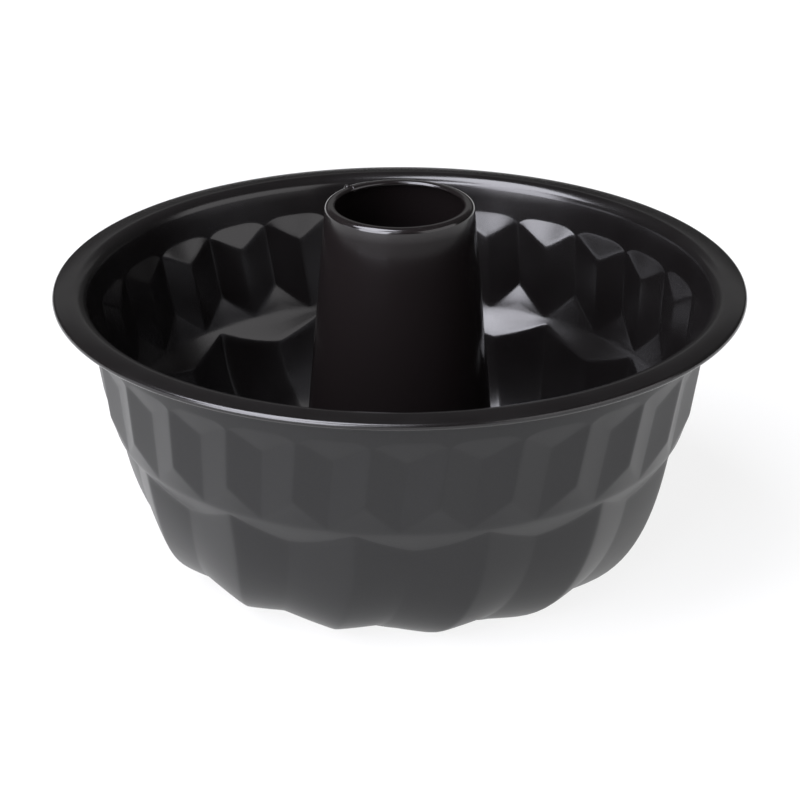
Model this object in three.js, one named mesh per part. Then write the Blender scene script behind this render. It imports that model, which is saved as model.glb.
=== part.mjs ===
// Fluted tube pan: a deep-drawn steel bowl with two tiers of swirled flutes, and a rolled centre tube whose
// foot is beaded and hemmed into the hole in the bowl's floor. Both pieces are bent sheet of one thickness.
// Millimetres, +Z up. The origin is on the axis, at the level the pan stands on; the front is towards -Y.
import * as THREE from 'three';

// Sheet
const SHEET = 0.6;                  // thickness of both sheets
const CLEARANCE = 0.3;              // gap between the tube's foot and the floor it grips

// Rim: a falling flange with its edge rolled under, and a plain band below it
const RIM_RADIUS = 110.3;           // outermost circle of the pan
const RIM_HEIGHT = 92.8;            // crest of the flange above the table
const FLANGE_WIDTH = 8.1;           // crest to outermost circle
const FLANGE_FALL = 5;              // degrees, outwards
const RIM_ROLL_RADIUS = 0.9;        // middle of the sheet in the rolled edge
const RIM_ROLL_TURN = 245;          // degrees of roll
const RIM_FILLET = 3.2;             // middle of the sheet where the flange turns down into the band
const BAND_TAPER = 8.5;             // degrees off vertical
const BAND_DEPTH = 11.7;            // crest to the tops of the arched upper ledges

// Upper tier: small flutes under a ring of ledges, each with an arched top and a pointed tip
const UPPER_FLUTES = 27;
const UPPER_PHASE = 1.5;            // azimuth of one valley tip, degrees from the front
const UPPER_SWIRL = 0.067;          // degrees turned back per mm of descent
const UPPER_LEDGE_DROP = 7.7;       // ledge's top to its tip
const UPPER_LEDGE_WIDTH = 2.25;     // how far the tip lies inside the top
const LEDGE_FLATNESS = 0.52;        // 0 for ledges as round as the band, 1 for flat ones
const ARCH_SHARE = 0.3;             // how far from the valley the arch's corners lie, as a share of the pitch
const UPPER_RIDGE_TAPER = 6.7;      // degrees off vertical
const RIDGE_END_DROP = 23.4;        // ledge's top to the foot triangle on each ridge
const FOOT_TAPER = 19.2;            // degrees off vertical of the foot triangles
const WAIST_DROP = 33.1;            // ledge's top to the waist, where the tiers meet
const VALLEY_END_RISE = 1.4;        // height above the waist at which a valley runs out between foot triangles

// Lower tier: large flutes that curve under to the flat ring the pan stands on
const LOWER_FLUTES = 14;
const LOWER_PHASE = 17.1;           // azimuth of one ridge's top, degrees from the front
const VALLEY_SHARE = 0.457;         // how far the next valley lies from a ridge, as a share of the pitch
const SWIRL_LENGTH = 65;            // length along a ridge over which the flutes turn back by SWIRL_TURN
const SWIRL_TURN = 16.6;            // degrees
const SWIRL_POWER = 2.6;            // how much faster they turn towards the foot
const LOWER_LEDGE_DROP = 7.65;      // waist to the ledge's tip
const LOWER_LEDGE_WIDTH = 4.9;      // how far the tip lies inside the waist
const LOWER_LEDGE_NECK = 1.5;       // height of the ledge where it crosses a ridge
const FACE_SWELL = 0.3;             // how far the faces between ridges and valleys swell beyond flat
const RIDGE_TAPER = 10.2;           // degrees off vertical at the ridge's top
const RIDGE_PULL = 28.1;            // length of the ridge curve's upper handle
const RIDGE_SWEEP = 22.9;           // length of its lower handle, along the table
const VALLEY_TAPER = 7.4;           // the same three sizes for the valley curve
const VALLEY_PULL = 21.7;
const VALLEY_SWEEP = 23;
const RIDGE_FOOT_RADIUS = 56.1;     // where a ridge comes down to the table
const VALLEY_FOOT_RADIUS = 56.5;    // where a valley has levelled out
const VALLEY_FOOT_RISE = 2.5;       // height of the valley above the table there

// Floor: the flat ring, then a step up to the land round the tube's hole
const REST_OUTER_RADIUS = 53.5;
const REST_INNER_RADIUS = 46;
const LAND_RADIUS = 40.5;
const LAND_RISE = 3.5;
const STEP_FILLET = 1.6;

// Centre tube
const TUBE_HEIGHT = 118.6;          // crown of the lip above the table
const TUBE_OPENING_RADIUS = 20.35;  // inside the rolled lip
const TUBE_LIP_RADIUS = 1.4;        // middle of the sheet in the lip's roll
const TUBE_LIP_TUCK = 45;           // degrees that the lip is rolled on past its inmost point
const TUBE_TAPER = 4.8;             // degrees off vertical, wider downwards
const BEAD_RADIUS = 1.3;            // bead that sits on the land
const BEAD_HALF_ANGLE = 65;
const HEM_WIDTH = 5;                // hem turned out under the land
const HEM_FILLET = 0.7;
const SEAM_AZIMUTH = -138;          // lap seam, degrees from the front
const SEAM_STEP = 1.5;              // degrees over which the lapped edge steps down
const SEAM_BLEND = 32;              // degrees over which the outer layer rises to the lap
const SEAM_FADE = 14;               // height above the table by which the lap has come in fully

// Fineness
const RIM_COLUMNS = 84;
const LOWER_ROWS = 8;
const TUBE_COLUMNS = 36;
const ARC_STEP = 36;                // degrees between points of a small arc

const rad = THREE.MathUtils.degToRad;
const slope = (angle) => Math.tan(rad(angle));
const HALF_SHEET = SHEET / 2;

// A station is one point of a sheet's middle surface: azimuth from the front in degrees, radius, height.
const station = (azimuth, radius, height) => ({ azimuth, radius, height });

function place({ azimuth, radius, height }) {
  const angle = rad(azimuth);
  return new THREE.Vector3(radius * Math.sin(angle), -radius * Math.cos(angle), height);
}

// One station at each azimuth, all at the same radius and height.
const circle = (azimuths, radius, height) => azimuths.map((azimuth) => station(azimuth, radius, height));

const evenAzimuths = (count) => Array.from({ length: count }, (_, i) => (i * 360) / count);

// Radius and height pairs along an arc in the meridian plane; angles in degrees, end points included.
function meridianArc(centre, radius, from, to) {
  const steps = Math.max(1, Math.ceil(Math.abs(to - from) / ARC_STEP));
  const points = [];
  for (let i = 0; i <= steps; i += 1) {
    const angle = rad(from + ((to - from) * i) / steps);
    points.push(new THREE.Vector2(centre.x + radius * Math.cos(angle), centre.y + radius * Math.sin(angle)));
  }
  return points;
}

// Triangles between two closed rings. Equal rings are joined station by station, so that a ridge runs on as a
// ridge; unequal ones are zipped together by azimuth.
function joinRings(upper, lower, triangles) {
  const n = upper.length;
  const m = lower.length;
  if (n === m) {
    for (let i = 0; i < n; i += 1) {
      const next = (i + 1) % n;
      triangles.push([upper[i], lower[i], upper[next]], [upper[next], lower[i], lower[next]]);
    }
    return;
  }
  const turn = (angle) => ((angle % 360) + 360) % 360;
  const start = upper[0].azimuth;
  const lead = lower.reduce(
    (best, s, k) => (turn(s.azimuth - start) < turn(lower[best].azimuth - start) ? k : best), 0);
  const ahead = (ring, first, k) => {
    const lap = k >= ring.length ? 360 : 0;
    return lap + turn(ring[(first + k) % ring.length].azimuth - start);
  };
  let i = 0;
  let j = 0;
  while (i < n || j < m) {
    const a = upper[i % n];
    const b = lower[(lead + j) % m];
    const stepUpper = j >= m || (i < n && ahead(upper, 0, i + 1) <= ahead(lower, lead, j + 1));
    if (stepUpper) {
      i += 1;
      triangles.push([a, b, upper[i % n]]);
    } else {
      j += 1;
      triangles.push([a, b, lower[(lead + j) % m]]);
    }
  }
}

// Thickens a middle surface, given as rings of stations from one edge to the other, into a closed sheet body.
function sheetBody(rings) {
  const stations = rings.flat();
  stations.forEach((s, index) => {
    s.index = index;
    s.point = place(s);
    s.normal = new THREE.Vector3();
  });
  const triangles = [];
  for (let k = 0; k + 1 < rings.length; k += 1) joinRings(rings[k], rings[k + 1], triangles);
  for (const corners of triangles) {
    const face = new THREE.Triangle(...corners.map((s) => s.point)).getNormal(new THREE.Vector3());
    corners.forEach((s, k) => {
      const one = corners[(k + 1) % 3].point.clone().sub(s.point);
      const other = corners[(k + 2) % 3].point.clone().sub(s.point);
      s.normal.addScaledVector(face, one.angleTo(other));
    });
  }
  const total = stations.length;
  const positions = new Float32Array(total * 6);
  for (const s of stations) {
    s.normal.normalize();
    s.point.clone().addScaledVector(s.normal, HALF_SHEET).toArray(positions, s.index * 3);
    s.point.clone().addScaledVector(s.normal, -HALF_SHEET).toArray(positions, (total + s.index) * 3);
  }
  const faces = [];
  for (const [a, b, c] of triangles) {
    faces.push(a.index, b.index, c.index);
    faces.push(total + a.index, total + c.index, total + b.index);
  }
  const closeEdge = (ring, forwards) => {
    for (let i = 0; i < ring.length; i += 1) {
      const here = ring[i].index;
      const next = ring[(i + 1) % ring.length].index;
      const [a, b] = forwards ? [here, next] : [next, here];
      faces.push(a, b, total + b, a, total + b, total + a);
    }
  };
  closeEdge(rings[0], true);
  closeEdge(rings[rings.length - 1], false);
  const geometry = new THREE.BufferGeometry();
  geometry.setAttribute('position', new THREE.BufferAttribute(positions, 3));
  geometry.setIndex(faces);
  geometry.computeVertexNormals();
  return geometry;
}

// Heights and radii that the bowl's parts share, all on the middle of the sheet.
const crestRadius = RIM_RADIUS - FLANGE_WIDTH;
const filletCentre = new THREE.Vector2(crestRadius, RIM_HEIGHT - HALF_SHEET - RIM_FILLET);
const upperLedgeTop = RIM_HEIGHT - BAND_DEPTH;
const waistHeight = upperLedgeTop - WAIST_DROP;
const tableHeight = HALF_SHEET;

// Rolled edge, flange and fillet, from the end of the roll inwards to the plain band.
function rimProfile() {
  const flangeNormal = 90 - FLANGE_FALL;
  const bandNormal = 180 - BAND_TAPER;
  const rollCentreRadius = RIM_RADIUS - HALF_SHEET - RIM_ROLL_RADIUS;
  const fallLength = rollCentreRadius - filletCentre.x;
  const rollCentre = new THREE.Vector2(
    rollCentreRadius,
    filletCentre.y + (RIM_FILLET - RIM_ROLL_RADIUS) / Math.cos(rad(FLANGE_FALL)) - fallLength * slope(FLANGE_FALL),
  );
  const roll = meridianArc(rollCentre, RIM_ROLL_RADIUS, flangeNormal - RIM_ROLL_TURN, flangeNormal);
  const fillet = meridianArc(filletCentre, RIM_FILLET, flangeNormal, bandNormal);
  return [...roll, ...fillet];
}

// Radius of the plain band at a height.
function bandRadius(height) {
  const bandTop = rimProfile().at(-1);
  return bandTop.x - (bandTop.y - height) * slope(BAND_TAPER);
}

// The upper tier's rings: corners of the arches; tips and ridge tops; valley and ridge ends; the waist.
function upperTierRings() {
  const pitch = 360 / UPPER_FLUTES;
  const ledgeRadius = bandRadius(upperLedgeTop);
  const ledgeLean = UPPER_LEDGE_WIDTH / UPPER_LEDGE_DROP;
  const tipHeight = upperLedgeTop - UPPER_LEDGE_DROP;
  const tipRadius = ledgeRadius - UPPER_LEDGE_WIDTH;

  // Height at which a ledge cuts the rounder band, a share of the pitch away from the ledge's middle.
  const archHeight = (share) => {
    const reach = 1 + LEDGE_FLATNESS * (1 / Math.cos(rad(pitch * share)) - 1);
    return upperLedgeTop - (ledgeRadius * (reach - 1)) / (ledgeLean * reach - slope(BAND_TAPER));
  };
  const cornerHeight = archHeight(ARCH_SHARE);
  const ridgeTop = archHeight(0.5);
  const ridgeEnd = upperLedgeTop - RIDGE_END_DROP;
  const ridgeEndRadius = bandRadius(ridgeTop) - (ridgeTop - ridgeEnd) * slope(UPPER_RIDGE_TAPER);
  const footRadius = (height) => ridgeEndRadius - (ridgeEnd - height) * slope(FOOT_TAPER);
  const valleyEnd = waistHeight + VALLEY_END_RISE;
  const waistRadius = footRadius(waistHeight);

  const rings = [[], [], [], []];
  for (let flute = 0; flute < UPPER_FLUTES; flute += 1) {
    const at = (ring, share, radius, height) => {
      const azimuth = UPPER_PHASE + (flute + share) * pitch - UPPER_SWIRL * (tipHeight - height);
      rings[ring].push(station(azimuth, radius, height));
    };
    at(0, -ARCH_SHARE, bandRadius(cornerHeight), cornerHeight);
    at(0, ARCH_SHARE, bandRadius(cornerHeight), cornerHeight);
    at(1, 0, tipRadius, tipHeight);
    at(1, 0.5, bandRadius(ridgeTop), ridgeTop);
    at(2, 0, footRadius(valleyEnd), valleyEnd);
    at(2, 0.5, ridgeEndRadius, ridgeEnd);
    at(3, 0, waistRadius, waistHeight);
    at(3, 0.5, waistRadius, waistHeight);
  }
  return { rings, waistRadius };
}

// A curve in the meridian plane from the lower ledge's neck down and under to a level end.
function underCurve(top, taper, pull, sweep, foot) {
  const pullDirection = new THREE.Vector2(-Math.sin(rad(taper)), -Math.cos(rad(taper)));
  return new THREE.CubicBezierCurve(
    top,
    top.clone().addScaledVector(pullDirection, pull),
    new THREE.Vector2(foot.x + sweep, foot.y),
    foot,
  );
}

// The curve's parameter at a height; the curves only ever fall.
function parameterAtHeight(curve, height) {
  let low = 0;
  let high = 1;
  for (let i = 0; i < 40; i += 1) {
    const middle = (low + high) / 2;
    if (curve.getPoint(middle).y > height) low = middle;
    else high = middle;
  }
  return low;
}

// The lower tier's rings. Each flute has a ridge, a valley and a station on either face between them.
function lowerTierRings(waistRadius) {
  const pitch = 360 / LOWER_FLUTES;
  const neckHeight = waistHeight - LOWER_LEDGE_NECK;
  const tipHeight = waistHeight - LOWER_LEDGE_DROP;
  const coneRadius = (height) => waistRadius - ((waistHeight - height) * LOWER_LEDGE_WIDTH) / LOWER_LEDGE_DROP;
  const ridgeTop = new THREE.Vector2(coneRadius(neckHeight), neckHeight);
  const ridgeFoot = new THREE.Vector2(RIDGE_FOOT_RADIUS, tableHeight);
  const ridge = underCurve(ridgeTop, RIDGE_TAPER, RIDGE_PULL, RIDGE_SWEEP, ridgeFoot);
  const valleyLean = (neckHeight - tipHeight) * slope(VALLEY_TAPER);
  const valleyTop = new THREE.Vector2(coneRadius(tipHeight) + valleyLean, neckHeight);
  const valleyFoot = new THREE.Vector2(VALLEY_FOOT_RADIUS, tableHeight + VALLEY_FOOT_RISE);
  const valley = underCurve(valleyTop, VALLEY_TAPER, VALLEY_PULL, VALLEY_SWEEP, valleyFoot);
  const tipParameter = parameterAtHeight(valley, tipHeight);
  const lengthSteps = 200;
  const lengths = ridge.getLengths(lengthSteps);
  const swirl = (t) => -SWIRL_TURN * (lengths[Math.round(t * lengthSteps)] / SWIRL_LENGTH) ** SWIRL_POWER;

  // Middle of a face between a ridge and a valley station, the share of a pitch apart.
  const faceRadius = (a, b, share) => {
    const apart = rad(pitch * share);
    return (a * b * Math.sin(apart)) / ((a + b) * Math.sin(apart / 2)) + FACE_SWELL;
  };
  const downFace = VALLEY_SHARE / 2;
  const upFace = (1 + VALLEY_SHARE) / 2;
  const rows = Array.from({ length: LOWER_ROWS }, (_, k) => (k + 1) / LOWER_ROWS);
  const ledgeRing = [];
  const rings = rows.map(() => []);
  for (let flute = 0; flute < LOWER_FLUTES; flute += 1) {
    const azimuth = (share, t) => LOWER_PHASE + (flute + share) * pitch + swirl(t);
    const armHeight = (neckHeight + tipHeight) / 2;
    ledgeRing.push(
      station(azimuth(0, 0), ridgeTop.x, neckHeight),
      station(azimuth(downFace, tipParameter / 2), coneRadius(armHeight), armHeight),
      station(azimuth(VALLEY_SHARE, tipParameter), coneRadius(tipHeight), tipHeight),
      station(azimuth(upFace, tipParameter / 2), coneRadius(armHeight), armHeight),
    );
    rows.forEach((row, k) => {
      const t = tipParameter + (1 - tipParameter) * row;
      const out = ridge.getPoint(t);
      const into = valley.getPoint(t);
      const faceHeight = (out.y + into.y) / 2;
      rings[k].push(
        station(azimuth(0, t), out.x, out.y),
        station(azimuth(downFace, t), faceRadius(out.x, into.x, VALLEY_SHARE), faceHeight),
        station(azimuth(VALLEY_SHARE, t), into.x, into.y),
        station(azimuth(upFace, t), faceRadius(out.x, into.x, 1 - VALLEY_SHARE), faceHeight),
      );
    });
  }
  return [ledgeRing, ...rings];
}

// Tube sizes that the floor's hole depends on.
const landHeight = tableHeight + LAND_RISE;
const lipCentre = new THREE.Vector2(
  TUBE_OPENING_RADIUS + HALF_SHEET + TUBE_LIP_RADIUS,
  TUBE_HEIGHT - HALF_SHEET - TUBE_LIP_RADIUS,
);
const tubeRadius = (height) =>
  lipCentre.x + TUBE_LIP_RADIUS / Math.cos(rad(TUBE_TAPER)) + (lipCentre.y - height) * slope(TUBE_TAPER);
const neckRadius = tubeRadius(landHeight);
const holeRadius = neckRadius + HALF_SHEET + CLEARANCE;

// Floor from the flat ring's outer edge inwards and up the step to the hole, as radius and height pairs.
function floorProfile() {
  const stepRun = REST_INNER_RADIUS - LAND_RADIUS;
  const stepAngle = THREE.MathUtils.radToDeg(Math.atan2(LAND_RISE, stepRun));
  const cut = STEP_FILLET * slope(stepAngle / 2);
  const lowerCentre = new THREE.Vector2(REST_INNER_RADIUS + cut, tableHeight + STEP_FILLET);
  const upperCentre = new THREE.Vector2(LAND_RADIUS - cut, landHeight - STEP_FILLET);
  return [
    new THREE.Vector2(REST_OUTER_RADIUS, tableHeight),
    new THREE.Vector2((REST_OUTER_RADIUS + lowerCentre.x) / 2, tableHeight),
    ...meridianArc(lowerCentre, STEP_FILLET, -90, -90 - stepAngle),
    ...meridianArc(upperCentre, STEP_FILLET, 90 - stepAngle, 90),
    new THREE.Vector2(holeRadius, landHeight),
  ];
}

function flutedBowl() {
  const rimAzimuths = evenAzimuths(RIM_COLUMNS);
  const rimRings = rimProfile().map((p) => circle(rimAzimuths, p.x, p.y));
  const upper = upperTierRings();
  const lowerRings = lowerTierRings(upper.waistRadius);
  const floorAzimuths = lowerRings.at(-1).map((s) => s.azimuth);
  const floorRings = floorProfile().map((p) => circle(floorAzimuths, p.x, p.y));
  return sheetBody([...rimRings, ...upper.rings, ...lowerRings, ...floorRings]);
}

// Middle of the tube's sheet, from the end of the rolled lip over and down to the edge of the hem.
function tubeProfile() {
  const lip = meridianArc(lipCentre, TUBE_LIP_RADIUS, 180 + TUBE_LIP_TUCK, TUBE_TAPER);
  const landTop = landHeight + HALF_SHEET;
  const landUnderside = landHeight - HALF_SHEET;
  const beadReach = BEAD_RADIUS * Math.cos(rad(BEAD_HALF_ANGLE));
  const beadCentre = new THREE.Vector2(
    neckRadius - beadReach,
    landTop + CLEARANCE + HALF_SHEET + BEAD_RADIUS,
  );
  const bead = meridianArc(beadCentre, BEAD_RADIUS, BEAD_HALF_ANGLE, -BEAD_HALF_ANGLE);
  const hemHeight = landUnderside - CLEARANCE - HALF_SHEET;
  const hemCentre = new THREE.Vector2(neckRadius + HEM_FILLET, hemHeight + HEM_FILLET);
  const hemTurn = meridianArc(hemCentre, HEM_FILLET, 180, 270);
  const hemEdge = new THREE.Vector2(neckRadius + HEM_WIDTH, hemHeight);
  return [...lip, ...bead, ...hemTurn, hemEdge];
}

// The tube is one sheet rolled round: at the lap its outer end lies a sheet's thickness over its inner end.
function centreTube() {
  const profile = tubeProfile();
  const span = 360 - SEAM_STEP;
  const rings = profile.map((p, k) => {
    const before = profile[Math.max(k - 1, 0)];
    const after = profile[Math.min(k + 1, profile.length - 1)];
    const along = after.clone().sub(before).normalize();
    const outwards = new THREE.Vector2(-along.y, along.x);
    const fade = THREE.MathUtils.smoothstep(p.y, landHeight + 2 * BEAD_RADIUS + SHEET, SEAM_FADE);
    return Array.from({ length: TUBE_COLUMNS + 1 }, (_, i) => {
      const turned = (i * span) / TUBE_COLUMNS;
      const lift = SHEET * fade * THREE.MathUtils.smoothstep(turned, span - SEAM_BLEND, span);
      const azimuth = SEAM_AZIMUTH + SEAM_STEP / 2 + turned;
      return station(azimuth, p.x + lift * outwards.x, p.y + lift * outwards.y);
    });
  });
  return sheetBody(rings);
}

function piece(name, geometry, material) {
  const mesh = new THREE.Mesh(geometry, new THREE.MeshStandardMaterial(material));
  mesh.name = name;
  return mesh;
}

const pan = new THREE.Group();
pan.name = 'fluted_tube_pan';
pan.add(
  piece('fluted_bowl', flutedBowl(), { color: 0x3d3d40, roughness: 0.5, metalness: 0.3 }),
  piece('centre_tube', centreTube(), { color: 0x121213, roughness: 0.3, metalness: 0.2 }),
);

export default pan;
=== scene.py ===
import math

import bpy
import numpy as np
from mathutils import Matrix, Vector


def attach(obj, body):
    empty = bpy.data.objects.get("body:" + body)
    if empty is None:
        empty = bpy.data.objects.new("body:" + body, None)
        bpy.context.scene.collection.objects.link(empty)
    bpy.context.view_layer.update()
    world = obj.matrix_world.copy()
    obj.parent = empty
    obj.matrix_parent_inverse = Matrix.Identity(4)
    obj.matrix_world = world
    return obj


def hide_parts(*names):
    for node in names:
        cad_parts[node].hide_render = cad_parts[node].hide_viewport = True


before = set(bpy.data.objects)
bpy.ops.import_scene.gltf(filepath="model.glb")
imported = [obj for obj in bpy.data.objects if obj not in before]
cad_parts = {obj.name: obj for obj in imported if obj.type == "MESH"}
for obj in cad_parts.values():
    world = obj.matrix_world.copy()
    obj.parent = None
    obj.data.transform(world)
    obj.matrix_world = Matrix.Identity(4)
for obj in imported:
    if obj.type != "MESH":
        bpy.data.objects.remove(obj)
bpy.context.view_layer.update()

MM = 0.001

# Sheet and rim
SHEET = 0.6 * MM
HALF_SHEET = SHEET / 2
CLEARANCE = 0.3 * MM
RIM_RADIUS = 110.3 * MM
RIM_HEIGHT = 92.8 * MM
FLANGE_WIDTH = 6.9 * MM
FLANGE_FALL = 5
RIM_ROLL_RADIUS = 0.9 * MM
RIM_ROLL_TURN = 245
RIM_FILLET = 3.8 * MM
BAND_TAPER = 8.5
BAND_DEPTH = 11.7 * MM

# Upper tier of small flutes
UPPER_FLUTES = 27
UPPER_PHASE = 1.5
UPPER_SWIRL = 0.067 / MM
UPPER_LEDGE_DROP = 7.7 * MM
UPPER_LEDGE_WIDTH = 2.93 * MM
LEDGE_FLARE = 0.56 * MM             # how far a ledge's ends stand out from its cone
FLARE_POWER = 4
UPPER_RIDGE_TAPER = 8.53
RIDGE_END_DROP = 23.4 * MM
FOOT_TAPER = 19.2
WAIST_DROP = 33.1 * MM
VALLEY_END_RISE = 1.4 * MM
FOOT_BOW = 0.12 * MM                # how far the foot triangles are hollowed
UPPER_CRISPNESS = 0.99
UPPER_ROUNDING = 0.2 * MM
BAND_ROUNDING = 0.08 * MM

# Lower tier of large flutes
LOWER_FLUTES = 14
LOWER_PHASE = 17.1
VALLEY_SHARE = 0.457
SWIRL_LENGTH = 65 * MM
SWIRL_TURN = 16.6
SWIRL_POWER = 2.6
LOWER_LEDGE_DROP = 7.65 * MM
LOWER_LEDGE_WIDTH = 4.9 * MM
LOWER_LEDGE_NECK = 1.5 * MM
FACE_SWELL = 0.3 * MM
RIDGE_TAPER = 10.2
RIDGE_PULL = 28.1 * MM
RIDGE_SWEEP = 22.9 * MM
VALLEY_TAPER = 7.4
VALLEY_PULL = 21.7 * MM
VALLEY_SWEEP = 23 * MM
RIDGE_FOOT_RADIUS = 56.1 * MM
VALLEY_FOOT_RADIUS = 56.5 * MM
VALLEY_FOOT_RISE = 2.5 * MM
LOWER_CRISPNESS = 0.988
LOWER_ROUNDING = 0.3 * MM
WAIST_ROUNDING = 0.4 * MM

# Floor of the bowl
REST_OUTER_RADIUS = 53.5 * MM
REST_INNER_RADIUS = 46 * MM
LAND_RADIUS = 40.5 * MM
LAND_RISE = 3.5 * MM
STEP_FILLET = 1.6 * MM

# Centre tube
TUBE_HEIGHT = 119 * MM
TUBE_OPENING_RADIUS = 20.35 * MM
TUBE_LIP_WIDTH = 2.8 * MM
TUBE_LIP_RADIUS = 1.4 * MM
LIP_EDGE_RADIUS = 0.6 * MM
TUBE_LIP_TUCK = 20
TUBE_TAPER = 4.8
BEAD_RADIUS = 1.3 * MM
BEAD_HALF_ANGLE = 65
HEM_WIDTH = 5 * MM
HEM_FILLET = 0.7 * MM
SEAM_AZIMUTH = -134.6
SEAM_STEP = 0.5
SEAM_BLEND = 32
SEAM_FADE = 14 * MM
SEAM_LAP = 0.25 * MM                # what the weld has left of the step at the lap
WELD_AZIMUTH = -132.6
WELD_RISE = 0.9 * MM
WELD_SPREAD = 1.265                 # degrees along the lip over which the weld spot dies away
WELD_WIDTH = 0.542 * MM             # how far it takes to do so across the lip
WELD_OUT = 0.84 * MM                # the spot's middle, out from the middle of the lip's round corner

# Fineness of the meshes
RIM_COLUMNS = 252
UPPER_COLUMNS = 13                  # on each face of an upper flute
LOWER_COLUMNS = 23                  # on each face of a lower flute
FLOOR_COLUMNS = 168
TUBE_COLUMNS = 360
WELD_COLUMNS = 25                   # extra ones round the weld spot
WELD_REACH = 1.6                    # degrees that these cover on each side of it
ROLL_STEPS = 9
FILLET_STEPS = 9
STEP_FILLET_STEPS = 3
LIP_EDGE_STEPS = 7
LIP_STEPS = 11
BEAD_STEPS = 8
HEM_STEPS = 4
WALL_STEPS = 13
CURVE_STEPS = 400                   # at which the lower flutes' curves are measured
CROWDING = 0.75                     # how much closer columns lie at ridges and valleys than on average
THIN_ROW = 0.15 * MM                # least height kept between creases that run together

# Where rows lie between one crease and the next, as shares of the way down
BAND_ROWS = (0.35, 0.7, 0.9, 0.97)
LEDGE_ROWS = (0, 0.12, 0.4, 0.75, 0.93)
FLUTE_ROWS = (0, 0.03, 0.09, 0.35, 0.7, 0.92, 0.97)
FOOT_ROWS = (0, 0.1, 0.3, 0.6, 0.85)
LOWER_LEDGE_ROWS = (0, 0.12, 0.4, 0.75, 0.94)
LOWER_FLUTE_ROWS = (0, 0.012, 0.04, 0.09, *np.linspace(0.15, 1, 18))
RUN_OUT_ROWS = (1 / 3, 2 / 3)

# Coats; a pair of values is mixed by noise, whose scale is features per metre
NOISE_SPAN = (0.3, 0.7)             # the range of the noise that is spread over a pair
WHOLE = (0, 1)
PEEL_SCALE = 1500
PEEL_DEPTH = 0.02 * MM
PEEL_STRENGTH = 0.6
SPECKLE_SCALE = 2600
SPECKLE_DETAIL = 1
OUTSIDE_SHADES = (0.002, 0.005)
OUTSIDE_DRIFT_SCALE = 35
OUTSIDE_ROUGHNESS = (0.33, 0.38)
OUTSIDE_GLOSS = 0.42
WAVE_SCALE = 420
WAVE_DEPTH = 0.01 * MM
WAVE_STRENGTH = 0.5
INSIDE_COLOURS = ((0.0035, 0.003, 0.003, 1), (0.0045, 0.004, 0.004, 1))
INSIDE_DRIFT_SCALE = 60
INSIDE_ROUGHNESS = (0.17, 0.22)
TUBE_COLOUR = (0.005, 0.004, 0.004, 1)
TUBE_ROUGHNESS = 0.14
WALL_AND_LIP_GLOSS = (0.2, 0.5)
GLOSS_START = 5 * MM                # below the tube's top, where the gloss of the wall starts to rise
GLOSS_END = 2 * MM                  # and where it has become that of the lip

# Camera, fitted to the rim's ellipse and the rings of flute corners
CAMERA_DROP = 0.4173                # radians below level
CAMERA_DISTANCE = 996.7 * MM
CAMERA_SIDE = 0.1 * MM
AIM_BELOW_RIM = 40.4 * MM
RIM_LEVEL = 91.6 * MM
FOCAL_PIXELS = 3074.14
FRAME_PIXELS = 800
SENSOR_WIDTH = 36

# Studio
FLOOR_GLOW = 0.85                   # share of the floor's look that is plain white
HORIZON = 0.06                      # how bright the room is round the horizon
CEILING = 0.1                       # how bright it is overhead
FLOOR_HALF = 8                      # half the floor's side
PAPER = (0.86, 0.86, 0.86, 1)       # the floor's colour in diffuse light
COOL = (0.97, 0.97, 1.06)
PINKISH = (1, 0.98, 1)
WHITE = (1, 1, 1)


def slope(degrees):
    return math.tan(math.radians(degrees))


# Shared heights and radii on the middle of the sheet
crest_radius = RIM_RADIUS - FLANGE_WIDTH
fillet_height = RIM_HEIGHT - HALF_SHEET - RIM_FILLET
upper_ledge_top = RIM_HEIGHT - BAND_DEPTH
upper_tip_height = upper_ledge_top - UPPER_LEDGE_DROP
waist_height = upper_ledge_top - WAIST_DROP
lower_neck_height = waist_height - LOWER_LEDGE_NECK
lower_tip_height = waist_height - LOWER_LEDGE_DROP
table_height = HALF_SHEET
land_height = table_height + LAND_RISE
lip_radius = TUBE_OPENING_RADIUS + HALF_SHEET + TUBE_LIP_WIDTH - TUBE_LIP_RADIUS
lip_height = TUBE_HEIGHT - HALF_SHEET - TUBE_LIP_RADIUS


def arc(radius, height, size, start, end, steps):
    """Radius and height pairs along an arc in the meridian plane, end points included; degrees."""
    turn = np.radians(np.linspace(start, end, steps + 1))
    return np.stack([radius + size * np.cos(turn), height + size * np.sin(turn)], axis=1)


def rim_profile():
    """Rolled edge, flange and fillet, from the end of the roll inwards to the plain band."""
    flange_normal = 90 - FLANGE_FALL
    roll_radius = RIM_RADIUS - HALF_SHEET - RIM_ROLL_RADIUS
    fall = (roll_radius - crest_radius) * slope(FLANGE_FALL)
    rise = (RIM_FILLET - RIM_ROLL_RADIUS) / math.cos(math.radians(FLANGE_FALL))
    roll = arc(roll_radius, fillet_height + rise - fall, RIM_ROLL_RADIUS,
               flange_normal - RIM_ROLL_TURN, flange_normal, ROLL_STEPS)
    fillet = arc(crest_radius, fillet_height, RIM_FILLET, flange_normal, 180 - BAND_TAPER, FILLET_STEPS)
    return np.concatenate([roll, fillet])


rim = rim_profile()


def band(height):
    return rim[-1, 0] - (rim[-1, 1] - height) * slope(BAND_TAPER)


def upper_ledge(height, offset):
    """Radius of an upper ledge, degrees of offset away from the valley below its tip."""
    lean = UPPER_LEDGE_WIDTH / UPPER_LEDGE_DROP
    flare = LEDGE_FLARE * np.abs(offset * UPPER_FLUTES / 180) ** FLARE_POWER
    return band(upper_ledge_top) - (upper_ledge_top - height) * lean + flare


def crossing(gap, top, bottom):
    """Height at which a gap that changes evenly with height closes."""
    return top + (bottom - top) * gap(top) / (gap(top) - gap(bottom))


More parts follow.
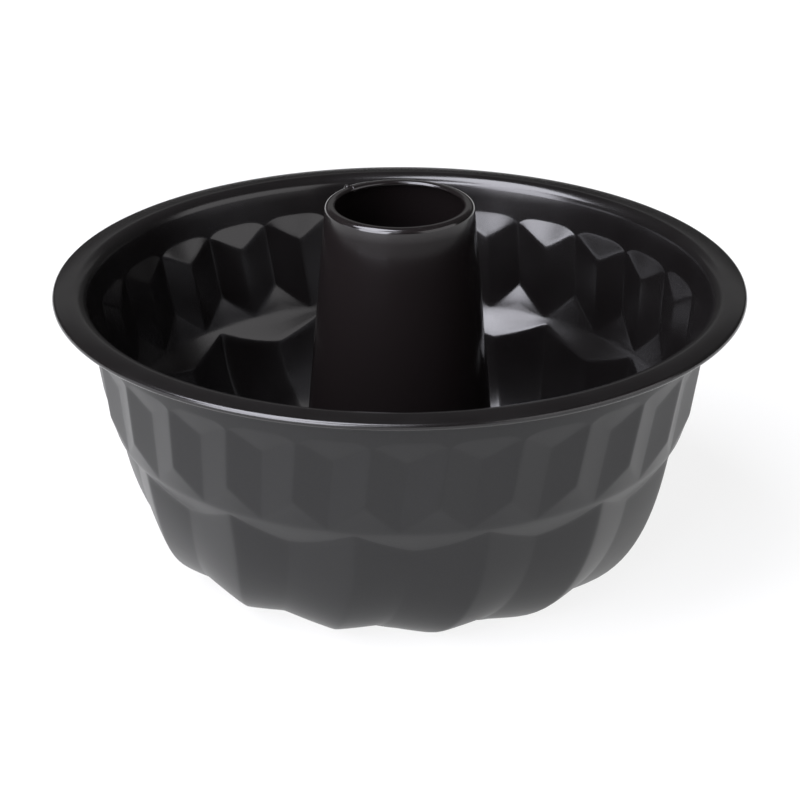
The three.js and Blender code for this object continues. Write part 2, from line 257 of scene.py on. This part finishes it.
def arch_height(offset):
    """Height at which an upper ledge cuts the rounder band above it."""
    return crossing(lambda h: upper_ledge(h, offset) - band(h), upper_ledge_top, upper_tip_height)


upper_tip_radius = band(upper_ledge_top) - UPPER_LEDGE_WIDTH
ridge_top = arch_height(180 / UPPER_FLUTES)
ridge_end = upper_ledge_top - RIDGE_END_DROP
ridge_end_radius = band(ridge_top) - (ridge_top - ridge_end) * slope(UPPER_RIDGE_TAPER)


def foot_cone(height):
    share = (ridge_end - height) / (ridge_end - waist_height)
    bow = FOOT_BOW * 4 * share * (1 - share)
    return ridge_end_radius - (ridge_end - height) * slope(FOOT_TAPER) - bow


waist_radius = foot_cone(waist_height)
valley_end = waist_height + VALLEY_END_RISE
valley_lean = (upper_tip_radius - foot_cone(valley_end)) / (upper_tip_height - valley_end)


def lower_cone(height):
    return waist_radius - (waist_height - height) * LOWER_LEDGE_WIDTH / LOWER_LEDGE_DROP


def rounded_max(a, b, size):
    near = np.maximum(size - np.abs(a - b), 0) / size
    return np.maximum(a, b) + near * near * size / 4


def rounded_min(a, b, size):
    return -rounded_max(-a, -b, size)


def smooth_step(value, low, high):
    share = np.clip((value - low) / (high - low), 0, 1)
    return share * share * (3 - 2 * share)


def zigzag(phase, crispness):
    """0 at whole phases, 1 half-way between, in straight runs with rounded turns."""
    return 0.5 - np.arcsin(crispness * np.cos(2 * np.pi * phase)) / (2 * math.asin(crispness))


def flat_face(valley, ridge, share, apart):
    """Radius of the flat face between a valley and a ridge, degrees apart; share 0 at the valley."""
    h = np.radians(apart)
    return valley * ridge * np.sin(h) / (valley * np.sin(share * h) + ridge * np.sin(h - share * h))


def under_curve(top, taper, pull, sweep, foot, t):
    """Points of a meridian curve from the lower ledge's neck down and under to a level end."""
    lean = np.array([-math.sin(math.radians(taper)), -math.cos(math.radians(taper))])
    upper_handle = top + pull * lean
    lower_handle = foot + np.array([sweep, 0])
    t = np.asarray(t)[..., None]
    return ((1 - t) ** 3 * top + 3 * (1 - t) ** 2 * t * upper_handle
            + 3 * (1 - t) * t ** 2 * lower_handle + t ** 3 * foot)


def lower_ridge(t):
    top = np.array([lower_cone(lower_neck_height), lower_neck_height])
    foot = np.array([RIDGE_FOOT_RADIUS, table_height])
    return under_curve(top, RIDGE_TAPER, RIDGE_PULL, RIDGE_SWEEP, foot, t)


def lower_valley(t):
    lean = (lower_neck_height - lower_tip_height) * slope(VALLEY_TAPER)
    top = np.array([lower_cone(lower_tip_height) + lean, lower_neck_height])
    foot = np.array([VALLEY_FOOT_RADIUS, table_height + VALLEY_FOOT_RISE])
    return under_curve(top, VALLEY_TAPER, VALLEY_PULL, VALLEY_SWEEP, foot, t)


def pitch_columns(flutes, turn_share, count):
    """Places of all columns round a tier, in pitches, crowded at whole pitches and at the turn between."""
    even = np.arange(count) / count
    crowded = even - CROWDING * np.sin(2 * np.pi * even) / (2 * np.pi)
    pitch = np.concatenate([turn_share * crowded, turn_share + (1 - turn_share) * crowded])
    return (np.arange(flutes)[:, None] + pitch).ravel()


def between(start, end, shares):
    return [start + (end - start) * share for share in shares]


def upper_rows():
    """Rows from the plain band down to just above the waist; creases of ledges and feet run along rows."""
    pitch = 360 / UPPER_FLUTES
    places = pitch_columns(UPPER_FLUTES, 0.5, UPPER_COLUMNS)
    share = zigzag(places, UPPER_CRISPNESS)
    offset = (places - np.round(places)) * pitch

    def flute(height):
        valley = upper_tip_radius - (upper_tip_height - height) * valley_lean
        ridge = band(ridge_top) - (ridge_top - height) * slope(UPPER_RIDGE_TAPER)
        return flat_face(valley, ridge, share, pitch / 2)

    arch = arch_height(offset)
    ledge_foot = crossing(lambda h: flute(h) - upper_ledge(h, offset), ridge_top, upper_tip_height)
    ledge_foot = np.minimum(ledge_foot, arch - THIN_ROW)
    flute_foot = crossing(lambda h: foot_cone(h) - flute(h), ridge_end, valley_end)
    heights = between(rim[-1, 1], arch, BAND_ROWS)
    heights += between(arch, ledge_foot, LEDGE_ROWS)
    heights += between(ledge_foot, flute_foot, FLUTE_ROWS)
    heights += between(flute_foot, waist_height, FOOT_ROWS)
    rows = []
    for height in heights:
        radius = rounded_max(flute(height), upper_ledge(height, offset), UPPER_ROUNDING)
        radius = rounded_min(radius, band(np.maximum(height, ridge_top)), BAND_ROUNDING)
        radius = rounded_min(radius, foot_cone(height), UPPER_ROUNDING)
        radius = rounded_min(radius, lower_cone(height), WAIST_ROUNDING)
        azimuth = UPPER_PHASE + places * pitch - UPPER_SWIRL * (upper_tip_height - height)
        rows.append((azimuth, radius, height))
    return rows


def lower_rows():
    """Rows from the waist down and under to the flutes' ends; the ledges' creases run along one row."""
    pitch = 360 / LOWER_FLUTES
    places = pitch_columns(LOWER_FLUTES, VALLEY_SHARE, LOWER_COLUMNS)
    turned = np.mod(places, 1)
    falling = turned < VALLEY_SHARE
    rising_phase = 1 + (turned - VALLEY_SHARE) / (1 - VALLEY_SHARE)
    share = zigzag(0.5 + np.where(falling, turned / VALLEY_SHARE, rising_phase) / 2, LOWER_CRISPNESS)
    apart = np.where(falling, VALLEY_SHARE, 1 - VALLEY_SHARE) * pitch

    def flute(t):
        ridge = lower_ridge(t)
        valley = lower_valley(t)
        height = valley[..., 1] + share * (ridge[..., 1] - valley[..., 1])
        swell = FACE_SWELL * 4 * share * (1 - share)
        return flat_face(valley[..., 0], ridge[..., 0], share, apart) + swell, height

    steps = np.linspace(0, 1, CURVE_STEPS + 1)
    pieces = np.linalg.norm(np.diff(lower_ridge(steps), axis=0), axis=1)
    lengths = np.concatenate([[0], np.cumsum(pieces)])

    def azimuth(t):
        shift = -SWIRL_TURN * (np.interp(t, steps, lengths) / SWIRL_LENGTH) ** SWIRL_POWER
        return LOWER_PHASE + places * pitch + shift

    crease = np.zeros(len(places))
    inside = np.full(len(places), True)
    for t in steps[1:]:
        radius, height = flute(np.full(len(places), t))
        inside &= radius < lower_cone(height)
        crease = np.where(inside, t, crease)
    crease_radius, crease_height = flute(crease)
    lean = slope(VALLEY_TAPER) + share * (slope(RIDGE_TAPER) - slope(VALLEY_TAPER))

    rows = []
    for height in between(waist_height, crease_height, LOWER_LEDGE_ROWS):
        face = crease_radius + (height - crease_height) * lean
        radius = rounded_max(face, lower_cone(height), LOWER_ROUNDING)
        rows.append((azimuth(crease), rounded_min(radius, foot_cone(height), WAIST_ROUNDING), height))
    for step in LOWER_FLUTE_ROWS:
        t = crease + (1 - crease) * step
        radius, height = flute(t)
        rows.append((azimuth(t), rounded_max(radius, lower_cone(height), LOWER_ROUNDING), height))
    return rows


def tube_radius(height):
    wall_top = lip_radius + TUBE_LIP_RADIUS / math.cos(math.radians(TUBE_TAPER))
    return wall_top + (lip_height - height) * slope(TUBE_TAPER)


tube_neck_radius = tube_radius(land_height)


def floor_profile():
    """Step from the flat ring up to the land, and the land as far as the tube's hole."""
    step_angle = math.degrees(math.atan2(LAND_RISE, REST_INNER_RADIUS - LAND_RADIUS))
    cut = STEP_FILLET * slope(step_angle / 2)
    hole_radius = tube_neck_radius + HALF_SHEET + CLEARANCE
    foot = arc(REST_INNER_RADIUS + cut, table_height + STEP_FILLET, STEP_FILLET,
               -90, -90 - step_angle, STEP_FILLET_STEPS)
    top = arc(LAND_RADIUS - cut, land_height - STEP_FILLET, STEP_FILLET,
              90 - step_angle, 90, STEP_FILLET_STEPS)
    return np.concatenate([foot, top, [[hole_radius, land_height]]])


def on_circle(azimuth, radius, height):
    """Points of one row, from azimuths in degrees and radii and heights that may vary along it."""
    angle = np.radians(azimuth)
    radius, height = np.broadcast_arrays(radius, height)
    height = np.broadcast_to(height, angle.shape)
    return np.stack([radius * np.sin(angle), -radius * np.cos(angle), height], axis=-1)


def bowl_rows():
    """The bowl's middle surface, row by row from the rolled edge down to the hole in its floor."""
    round_rim = np.arange(RIM_COLUMNS) * 360 / RIM_COLUMNS
    round_floor = np.arange(FLOOR_COLUMNS) * 360 / FLOOR_COLUMNS
    rows = [(round_rim, radius, height) for radius, height in rim]
    rows += upper_rows()
    rows += lower_rows()
    azimuth, foot_radius, foot_height = rows[-1]
    for share in RUN_OUT_ROWS:
        drop = smooth_step(share, 0, 1)
        rows.append((azimuth, foot_radius + (REST_OUTER_RADIUS - foot_radius) * share,
                     foot_height + (table_height - foot_height) * drop))
    rows.append((round_floor, REST_OUTER_RADIUS, table_height))
    rows += [(round_floor, radius, height) for radius, height in floor_profile()]
    return rows


def tube_profile():
    """The tube's section, from the inner edge of the lip over and down to the edge of the hem."""
    bead_radius = tube_neck_radius - BEAD_RADIUS * math.cos(math.radians(BEAD_HALF_ANGLE))
    bead_height = land_height + HALF_SHEET + CLEARANCE + HALF_SHEET + BEAD_RADIUS
    hem_height = land_height - HALF_SHEET - CLEARANCE - HALF_SHEET
    edge_radius = TUBE_OPENING_RADIUS + HALF_SHEET + LIP_EDGE_RADIUS
    edge_height = TUBE_HEIGHT - HALF_SHEET - LIP_EDGE_RADIUS
    lip = np.concatenate([
        arc(edge_radius, edge_height, LIP_EDGE_RADIUS, 180 + TUBE_LIP_TUCK, 90, LIP_EDGE_STEPS),
        arc(lip_radius, lip_height, TUBE_LIP_RADIUS, 90, TUBE_TAPER, LIP_STEPS),
    ])
    bead = arc(bead_radius, bead_height, BEAD_RADIUS, BEAD_HALF_ANGLE, -BEAD_HALF_ANGLE, BEAD_STEPS)
    wall_heights = np.linspace(lip[-1, 1], bead[0, 1], WALL_STEPS + 1)[1:-1]
    wall = np.stack([tube_radius(wall_heights), wall_heights], axis=1)
    turn = arc(tube_neck_radius + HEM_FILLET, hem_height + HEM_FILLET, HEM_FILLET, 180, 270, HEM_STEPS)
    return np.concatenate([lip, wall, bead, turn, [[tube_neck_radius + HEM_WIDTH, hem_height]]])


def tube_rows():
    """The tube's middle surface, row by row from lip to hem, with the lap's step and the weld spot."""
    profile = tube_profile()
    along = np.gradient(profile, axis=0)
    along /= np.linalg.norm(along, axis=1, keepdims=True)
    outwards = np.stack([-along[:, 1], along[:, 0]], axis=1)
    fade_start = land_height + 2 * BEAD_RADIUS + SHEET
    fade = smooth_step(profile[:, 1], fade_start, SEAM_FADE)
    span = 360 - SEAM_STEP
    weld_turn = WELD_AZIMUTH - SEAM_AZIMUTH - SEAM_STEP / 2
    round_weld = weld_turn + np.linspace(-WELD_REACH, WELD_REACH, WELD_COLUMNS)
    turned = np.union1d(np.linspace(0, span, TUBE_COLUMNS), round_weld)
    lift = SEAM_LAP * smooth_step(turned, span - SEAM_BLEND, span)
    azimuth = SEAM_AZIMUTH + SEAM_STEP / 2 + turned
    weld_shape = np.exp(-((turned - weld_turn) / WELD_SPREAD) ** 2)
    rows = []
    for point, out, share in zip(profile, outwards, fade):
        on_lip = math.exp(-((point[0] - lip_radius - WELD_OUT) / WELD_WIDTH) ** 2)
        weld = WELD_RISE * weld_shape * on_lip * (point[1] > lip_height)
        out_by = share * lift + weld
        rows.append((azimuth, point[0] + out_by * out[0], point[1] + out_by * out[1]))
    return rows


def zip_rows(upper, lower):
    """Triangles between two closed rows of unequal length, matched by azimuth; indices into each row."""
    from_start = np.mod(lower - upper[0], 360)
    lead = int(np.argmin(from_start))
    ahead_upper = np.append(upper - upper[0], 360)
    ahead_lower = np.append(np.roll(from_start, -lead), from_start[lead] + 360)
    triangles = []
    i = 0
    j = 0
    while i < len(upper) or j < len(lower):
        here = (0, i % len(upper)), (1, (lead + j) % len(lower))
        if j == len(lower) or (i < len(upper) and ahead_upper[i + 1] <= ahead_lower[j + 1]):
            i += 1
            triangles.append((*here, (0, i % len(upper))))
        else:
            j += 1
            triangles.append((*here, (1, (lead + j) % len(lower))))
    return triangles


def surface_faces(rows):
    """Quads between rows of equal length, and zipped triangles where the number of columns changes."""
    starts = np.cumsum([0] + [len(row[0]) for row in rows])
    faces = []
    for k in range(len(rows) - 1):
        upper = rows[k][0]
        lower = rows[k + 1][0]
        if len(upper) == len(lower):
            here = np.arange(len(upper))
            after = np.roll(here, -1)
            quads = [starts[k] + here, starts[k + 1] + here, starts[k + 1] + after, starts[k] + after]
            faces += np.stack(quads, axis=-1).tolist()
        else:
            for corners in zip_rows(upper, lower):
                faces.append([int(starts[k + row] + column) for row, column in corners])
    return faces, starts


def point_normals(points, faces):
    """Unit normals at the points, from the faces round each, weighted by their angles there."""
    triangles = [[f[0], f[1], f[2]] for f in faces]
    triangles += [[f[0], f[2], f[3]] for f in faces if len(f) == 4]
    corners = points[np.array(triangles)]
    across = np.cross(corners[:, 1] - corners[:, 0], corners[:, 2] - corners[:, 0])
    across /= np.linalg.norm(across, axis=1, keepdims=True)
    normals = np.zeros_like(points)
    for k in range(3):
        one = corners[:, (k + 1) % 3] - corners[:, k]
        other = corners[:, (k + 2) % 3] - corners[:, k]
        cosine = (one * other).sum(axis=1) / (np.linalg.norm(one, axis=1) * np.linalg.norm(other, axis=1))
        angle = np.arccos(np.clip(cosine, -1, 1))
        np.add.at(normals, np.array(triangles)[:, k], across * angle[:, None])
    return normals / np.linalg.norm(normals, axis=1, keepdims=True)


def sheet_object(name, rows, outer_material, inner_material):
    """A closed sheet round a middle surface, given as rows of azimuths, radii and heights."""
    points = np.concatenate([on_circle(*row) for row in rows])
    faces, starts = surface_faces(rows)
    normals = point_normals(points, faces)
    total = len(points)
    inner_faces = [[total + corner for corner in reversed(face)] for face in faces]
    edges = []
    for first, count, turn in ((0, len(rows[0][0]), 1), (starts[-2], len(rows[-1][0]), -1)):
        for i in range(count):
            here, after = (int(first + i), int(first + (i + 1) % count))[::turn]
            edges.append([here, after, total + after, total + here])

    mesh = bpy.data.meshes.new(name)
    both_sides = np.concatenate([points + HALF_SHEET * normals, points - HALF_SHEET * normals])
    mesh.from_pydata(both_sides.tolist(), [], faces + inner_faces + edges)
    mesh.materials.append(outer_material)
    mesh.materials.append(inner_material)
    mesh.polygons.foreach_set("material_index", [0] * len(faces) + [1] * (len(faces) + len(edges)))
    mesh.shade_smooth()
    piece = bpy.data.objects.new(name, mesh)
    bpy.context.collection.objects.link(piece)
    return piece


class Nodes:
    """A material's or the world's node tree, with short ways to add and link nodes."""

    def __init__(self, owner):
        owner.use_nodes = True
        self.tree = owner.node_tree
        self.tree.nodes.clear()

    def add(self, kind, **sockets):
        node = self.tree.nodes.new(kind)
        for name, value in sockets.items():
            self.put(node.inputs[name.replace("_", " ")], value)
        return node

    def put(self, socket, value):
        if isinstance(value, bpy.types.NodeSocket):
            self.tree.links.new(value, socket)
        else:
            socket.default_value = value

    def noise(self, scale, detail=2.0):
        """Noise in the object's own metres; scale is features per metre."""
        place = self.add("ShaderNodeTexCoord").outputs["Object"]
        return self.add("ShaderNodeTexNoise", Vector=place, Scale=scale, Detail=detail).outputs["Fac"]

    def remap(self, value, span, new_span):
        node = self.add("ShaderNodeMapRange", Value=value)
        names = ("From Min", "From Max", "To Min", "To Max")
        for name, limit in zip(names, (*span, *new_span)):
            node.inputs[name].default_value = limit
        return node.outputs["Result"]

    def total(self, one, other):
        node = self.tree.nodes.new("ShaderNodeMath")
        self.put(node.inputs[0], one)
        self.put(node.inputs[1], other)
        return node.outputs["Value"]

    def blend(self, share, dark, light):
        node = self.tree.nodes.new("ShaderNodeMix")
        node.data_type = "RGBA"
        self.put(node.inputs["Factor"], share)
        self.put(node.inputs["A"], dark)
        self.put(node.inputs["B"], light)
        return node.outputs["Result"]

    def bump(self, height, distance, strength):
        node = self.add("ShaderNodeBump", Height=height, Distance=distance, Strength=strength)
        return node.outputs["Normal"]


def grey(value):
    return (value, value, value * 1.03, 1.0)


def outside_coat():
    """Satin charcoal paint with a fine orange peel and a faint speckle."""
    material = bpy.data.materials.new("outside_coat")
    nodes = Nodes(material)
    peel = nodes.noise(PEEL_SCALE)
    speckle = nodes.noise(SPECKLE_SCALE, SPECKLE_DETAIL)
    drift = nodes.noise(OUTSIDE_DRIFT_SCALE)
    dark, light = [grey(shade) for shade in OUTSIDE_SHADES]
    colour = nodes.blend(nodes.remap(speckle, NOISE_SPAN, WHOLE), dark, light)
    roughness = nodes.remap(drift, NOISE_SPAN, OUTSIDE_ROUGHNESS)
    shader = nodes.add("ShaderNodeBsdfPrincipled", Base_Color=colour, Roughness=roughness,
                       Specular_IOR_Level=OUTSIDE_GLOSS, Normal=nodes.bump(peel, PEEL_DEPTH, PEEL_STRENGTH))
    nodes.add("ShaderNodeOutputMaterial", Surface=shader.outputs["BSDF"])
    return material


def inside_coat():
    """Glossy black non-stick coat, a little uneven in its gloss."""
    material = bpy.data.materials.new("inside_coat")
    nodes = Nodes(material)
    wave = nodes.noise(WAVE_SCALE)
    drift = nodes.noise(INSIDE_DRIFT_SCALE)
    dark, light = INSIDE_COLOURS
    colour = nodes.blend(nodes.remap(drift, NOISE_SPAN, WHOLE), dark, light)
    roughness = nodes.remap(drift, NOISE_SPAN, INSIDE_ROUGHNESS)
    shader = nodes.add("ShaderNodeBsdfPrincipled", Base_Color=colour, Roughness=roughness,
                       Normal=nodes.bump(wave, WAVE_DEPTH, WAVE_STRENGTH))
    nodes.add("ShaderNodeOutputMaterial", Surface=shader.outputs["BSDF"])
    return material


def tube_coat():
    """Glossy black coat of the tube, brighter on its lip than on its wall."""
    material = bpy.data.materials.new("tube_coat")
    nodes = Nodes(material)
    place = nodes.add("ShaderNodeTexCoord").outputs["Object"]
    height = nodes.add("ShaderNodeSeparateXYZ", Vector=place).outputs["Z"]
    rise = (TUBE_HEIGHT - GLOSS_START, TUBE_HEIGHT - GLOSS_END)
    gloss = nodes.remap(height, rise, WALL_AND_LIP_GLOSS)
    shader = nodes.add("ShaderNodeBsdfPrincipled", Base_Color=TUBE_COLOUR, Roughness=TUBE_ROUGHNESS,
                       Specular_IOR_Level=gloss)
    nodes.add("ShaderNodeOutputMaterial", Surface=shader.outputs["BSDF"])
    return material


def add_bowl(outside, inside):
    bowl = sheet_object("fluted_bowl_sheet", bowl_rows(), outside, inside)
    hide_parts("fluted_bowl")
    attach(bowl, "root")


def add_tube(coat):
    tube = sheet_object("centre_tube_sheet", tube_rows(), coat, coat)
    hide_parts("centre_tube")
    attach(tube, "root")


def add_floor():
    """Floor that is nearly plain white to the eye and in reflections, and keeps the pan's shadow."""
    corners = [(x * FLOOR_HALF, y * FLOOR_HALF, 0) for x, y in ((-1, -1), (1, -1), (1, 1), (-1, 1))]
    mesh = bpy.data.meshes.new("floor")
    mesh.from_pydata(corners, [], [(0, 1, 2, 3)])
    material = bpy.data.materials.new("floor_white")
    nodes = Nodes(material)
    path = nodes.add("ShaderNodeLightPath")
    seen = nodes.total(path.outputs["Is Camera Ray"], path.outputs["Is Glossy Ray"])
    seen = nodes.total(seen, path.outputs["Is Transmission Ray"])
    paper = nodes.add("ShaderNodeBsdfDiffuse", Color=PAPER)
    glow = nodes.add("ShaderNodeEmission", Color=(*WHITE, 1), Strength=1.0)
    both = nodes.add("ShaderNodeMixShader", Fac=nodes.remap(seen, WHOLE, (0, FLOOR_GLOW)))
    nodes.put(both.inputs[1], paper.outputs["BSDF"])
    nodes.put(both.inputs[2], glow.outputs["Emission"])
    nodes.add("ShaderNodeOutputMaterial", Surface=both.outputs["Shader"])
    mesh.materials.append(material)
    floor = bpy.data.objects.new("floor", mesh)
    bpy.context.collection.objects.link(floor)


def add_world():
    """A dim room, a little lighter overhead."""
    world = bpy.data.worlds.new("studio")
    bpy.context.scene.world = world
    nodes = Nodes(world)
    direction = nodes.add("ShaderNodeTexCoord").outputs["Generated"]
    up = nodes.add("ShaderNodeSeparateXYZ", Vector=direction).outputs["Z"]
    strength = nodes.remap(up, WHOLE, (HORIZON, CEILING))
    back = nodes.add("ShaderNodeBackground", Color=(*WHITE, 1), Strength=strength)
    nodes.add("ShaderNodeOutputWorld", Surface=back.outputs["Background"])


def add_softbox(name, place, size, radiance, colour):
    """A lit panel that faces the pan; place is its azimuth, elevation and distance from the pan's waist."""
    azimuth, elevation, distance = place
    width, height = size
    light = bpy.data.lights.new(name, "AREA")
    light.shape = "RECTANGLE"
    light.size = width
    light.size_y = height
    light.energy = math.pi * width * height * radiance
    light.color = colour
    lamp = bpy.data.objects.new(name, light)
    a = math.radians(azimuth)
    e = math.radians(elevation)
    away = Vector((math.sin(a) * math.cos(e), -math.cos(a) * math.cos(e), math.sin(e)))
    lamp.location = away * distance + Vector((0, 0, waist_height))
    lamp.rotation_euler = away.to_track_quat("Z", "Y").to_euler()
    bpy.context.collection.objects.link(lamp)


def add_lights():
    """Large soft boxes on the left and in front, a weaker one on the right and a strip behind."""
    add_softbox("key_left", place=(-40, 20, 1.6), size=(1.36, 1.23), radiance=10.5, colour=COOL)
    add_softbox("high_left", place=(-62, 62, 1.8), size=(1.26, 1.4), radiance=12, colour=COOL)
    add_softbox("low_left", place=(-76, 6, 1.6), size=(0.86, 0.33), radiance=1.8, colour=COOL)
    add_softbox("front_left", place=(-15, 33, 1.6), size=(0.7, 0.48), radiance=3.3, colour=COOL)
    add_softbox("fill_right", place=(63, 20, 1.6), size=(1.8, 1.2), radiance=1.55, colour=PINKISH)
    add_softbox("back_strip", place=(180, 23, 1.6), size=(1.6, 0.2), radiance=0.25, colour=WHITE)


def add_camera():
    """A long lens at the photograph's angle, aimed below the rim."""
    data = bpy.data.cameras.new("camera")
    data.sensor_width = SENSOR_WIDTH
    data.lens = FOCAL_PIXELS / FRAME_PIXELS * SENSOR_WIDTH
    camera = bpy.data.objects.new("camera", data)
    camera.location = (
        CAMERA_SIDE,
        -CAMERA_DISTANCE * math.cos(CAMERA_DROP),
        RIM_LEVEL - AIM_BELOW_RIM + CAMERA_DISTANCE * math.sin(CAMERA_DROP),
    )
    camera.rotation_euler = (math.pi / 2 - CAMERA_DROP, 0, 0)
    bpy.context.collection.objects.link(camera)
    bpy.context.scene.camera = camera


bpy.context.scene.view_settings.view_transform = "Standard"
add_camera()
add_bowl(outside_coat(), inside_coat())
add_tube(tube_coat())
add_floor()
add_world()
add_lights()
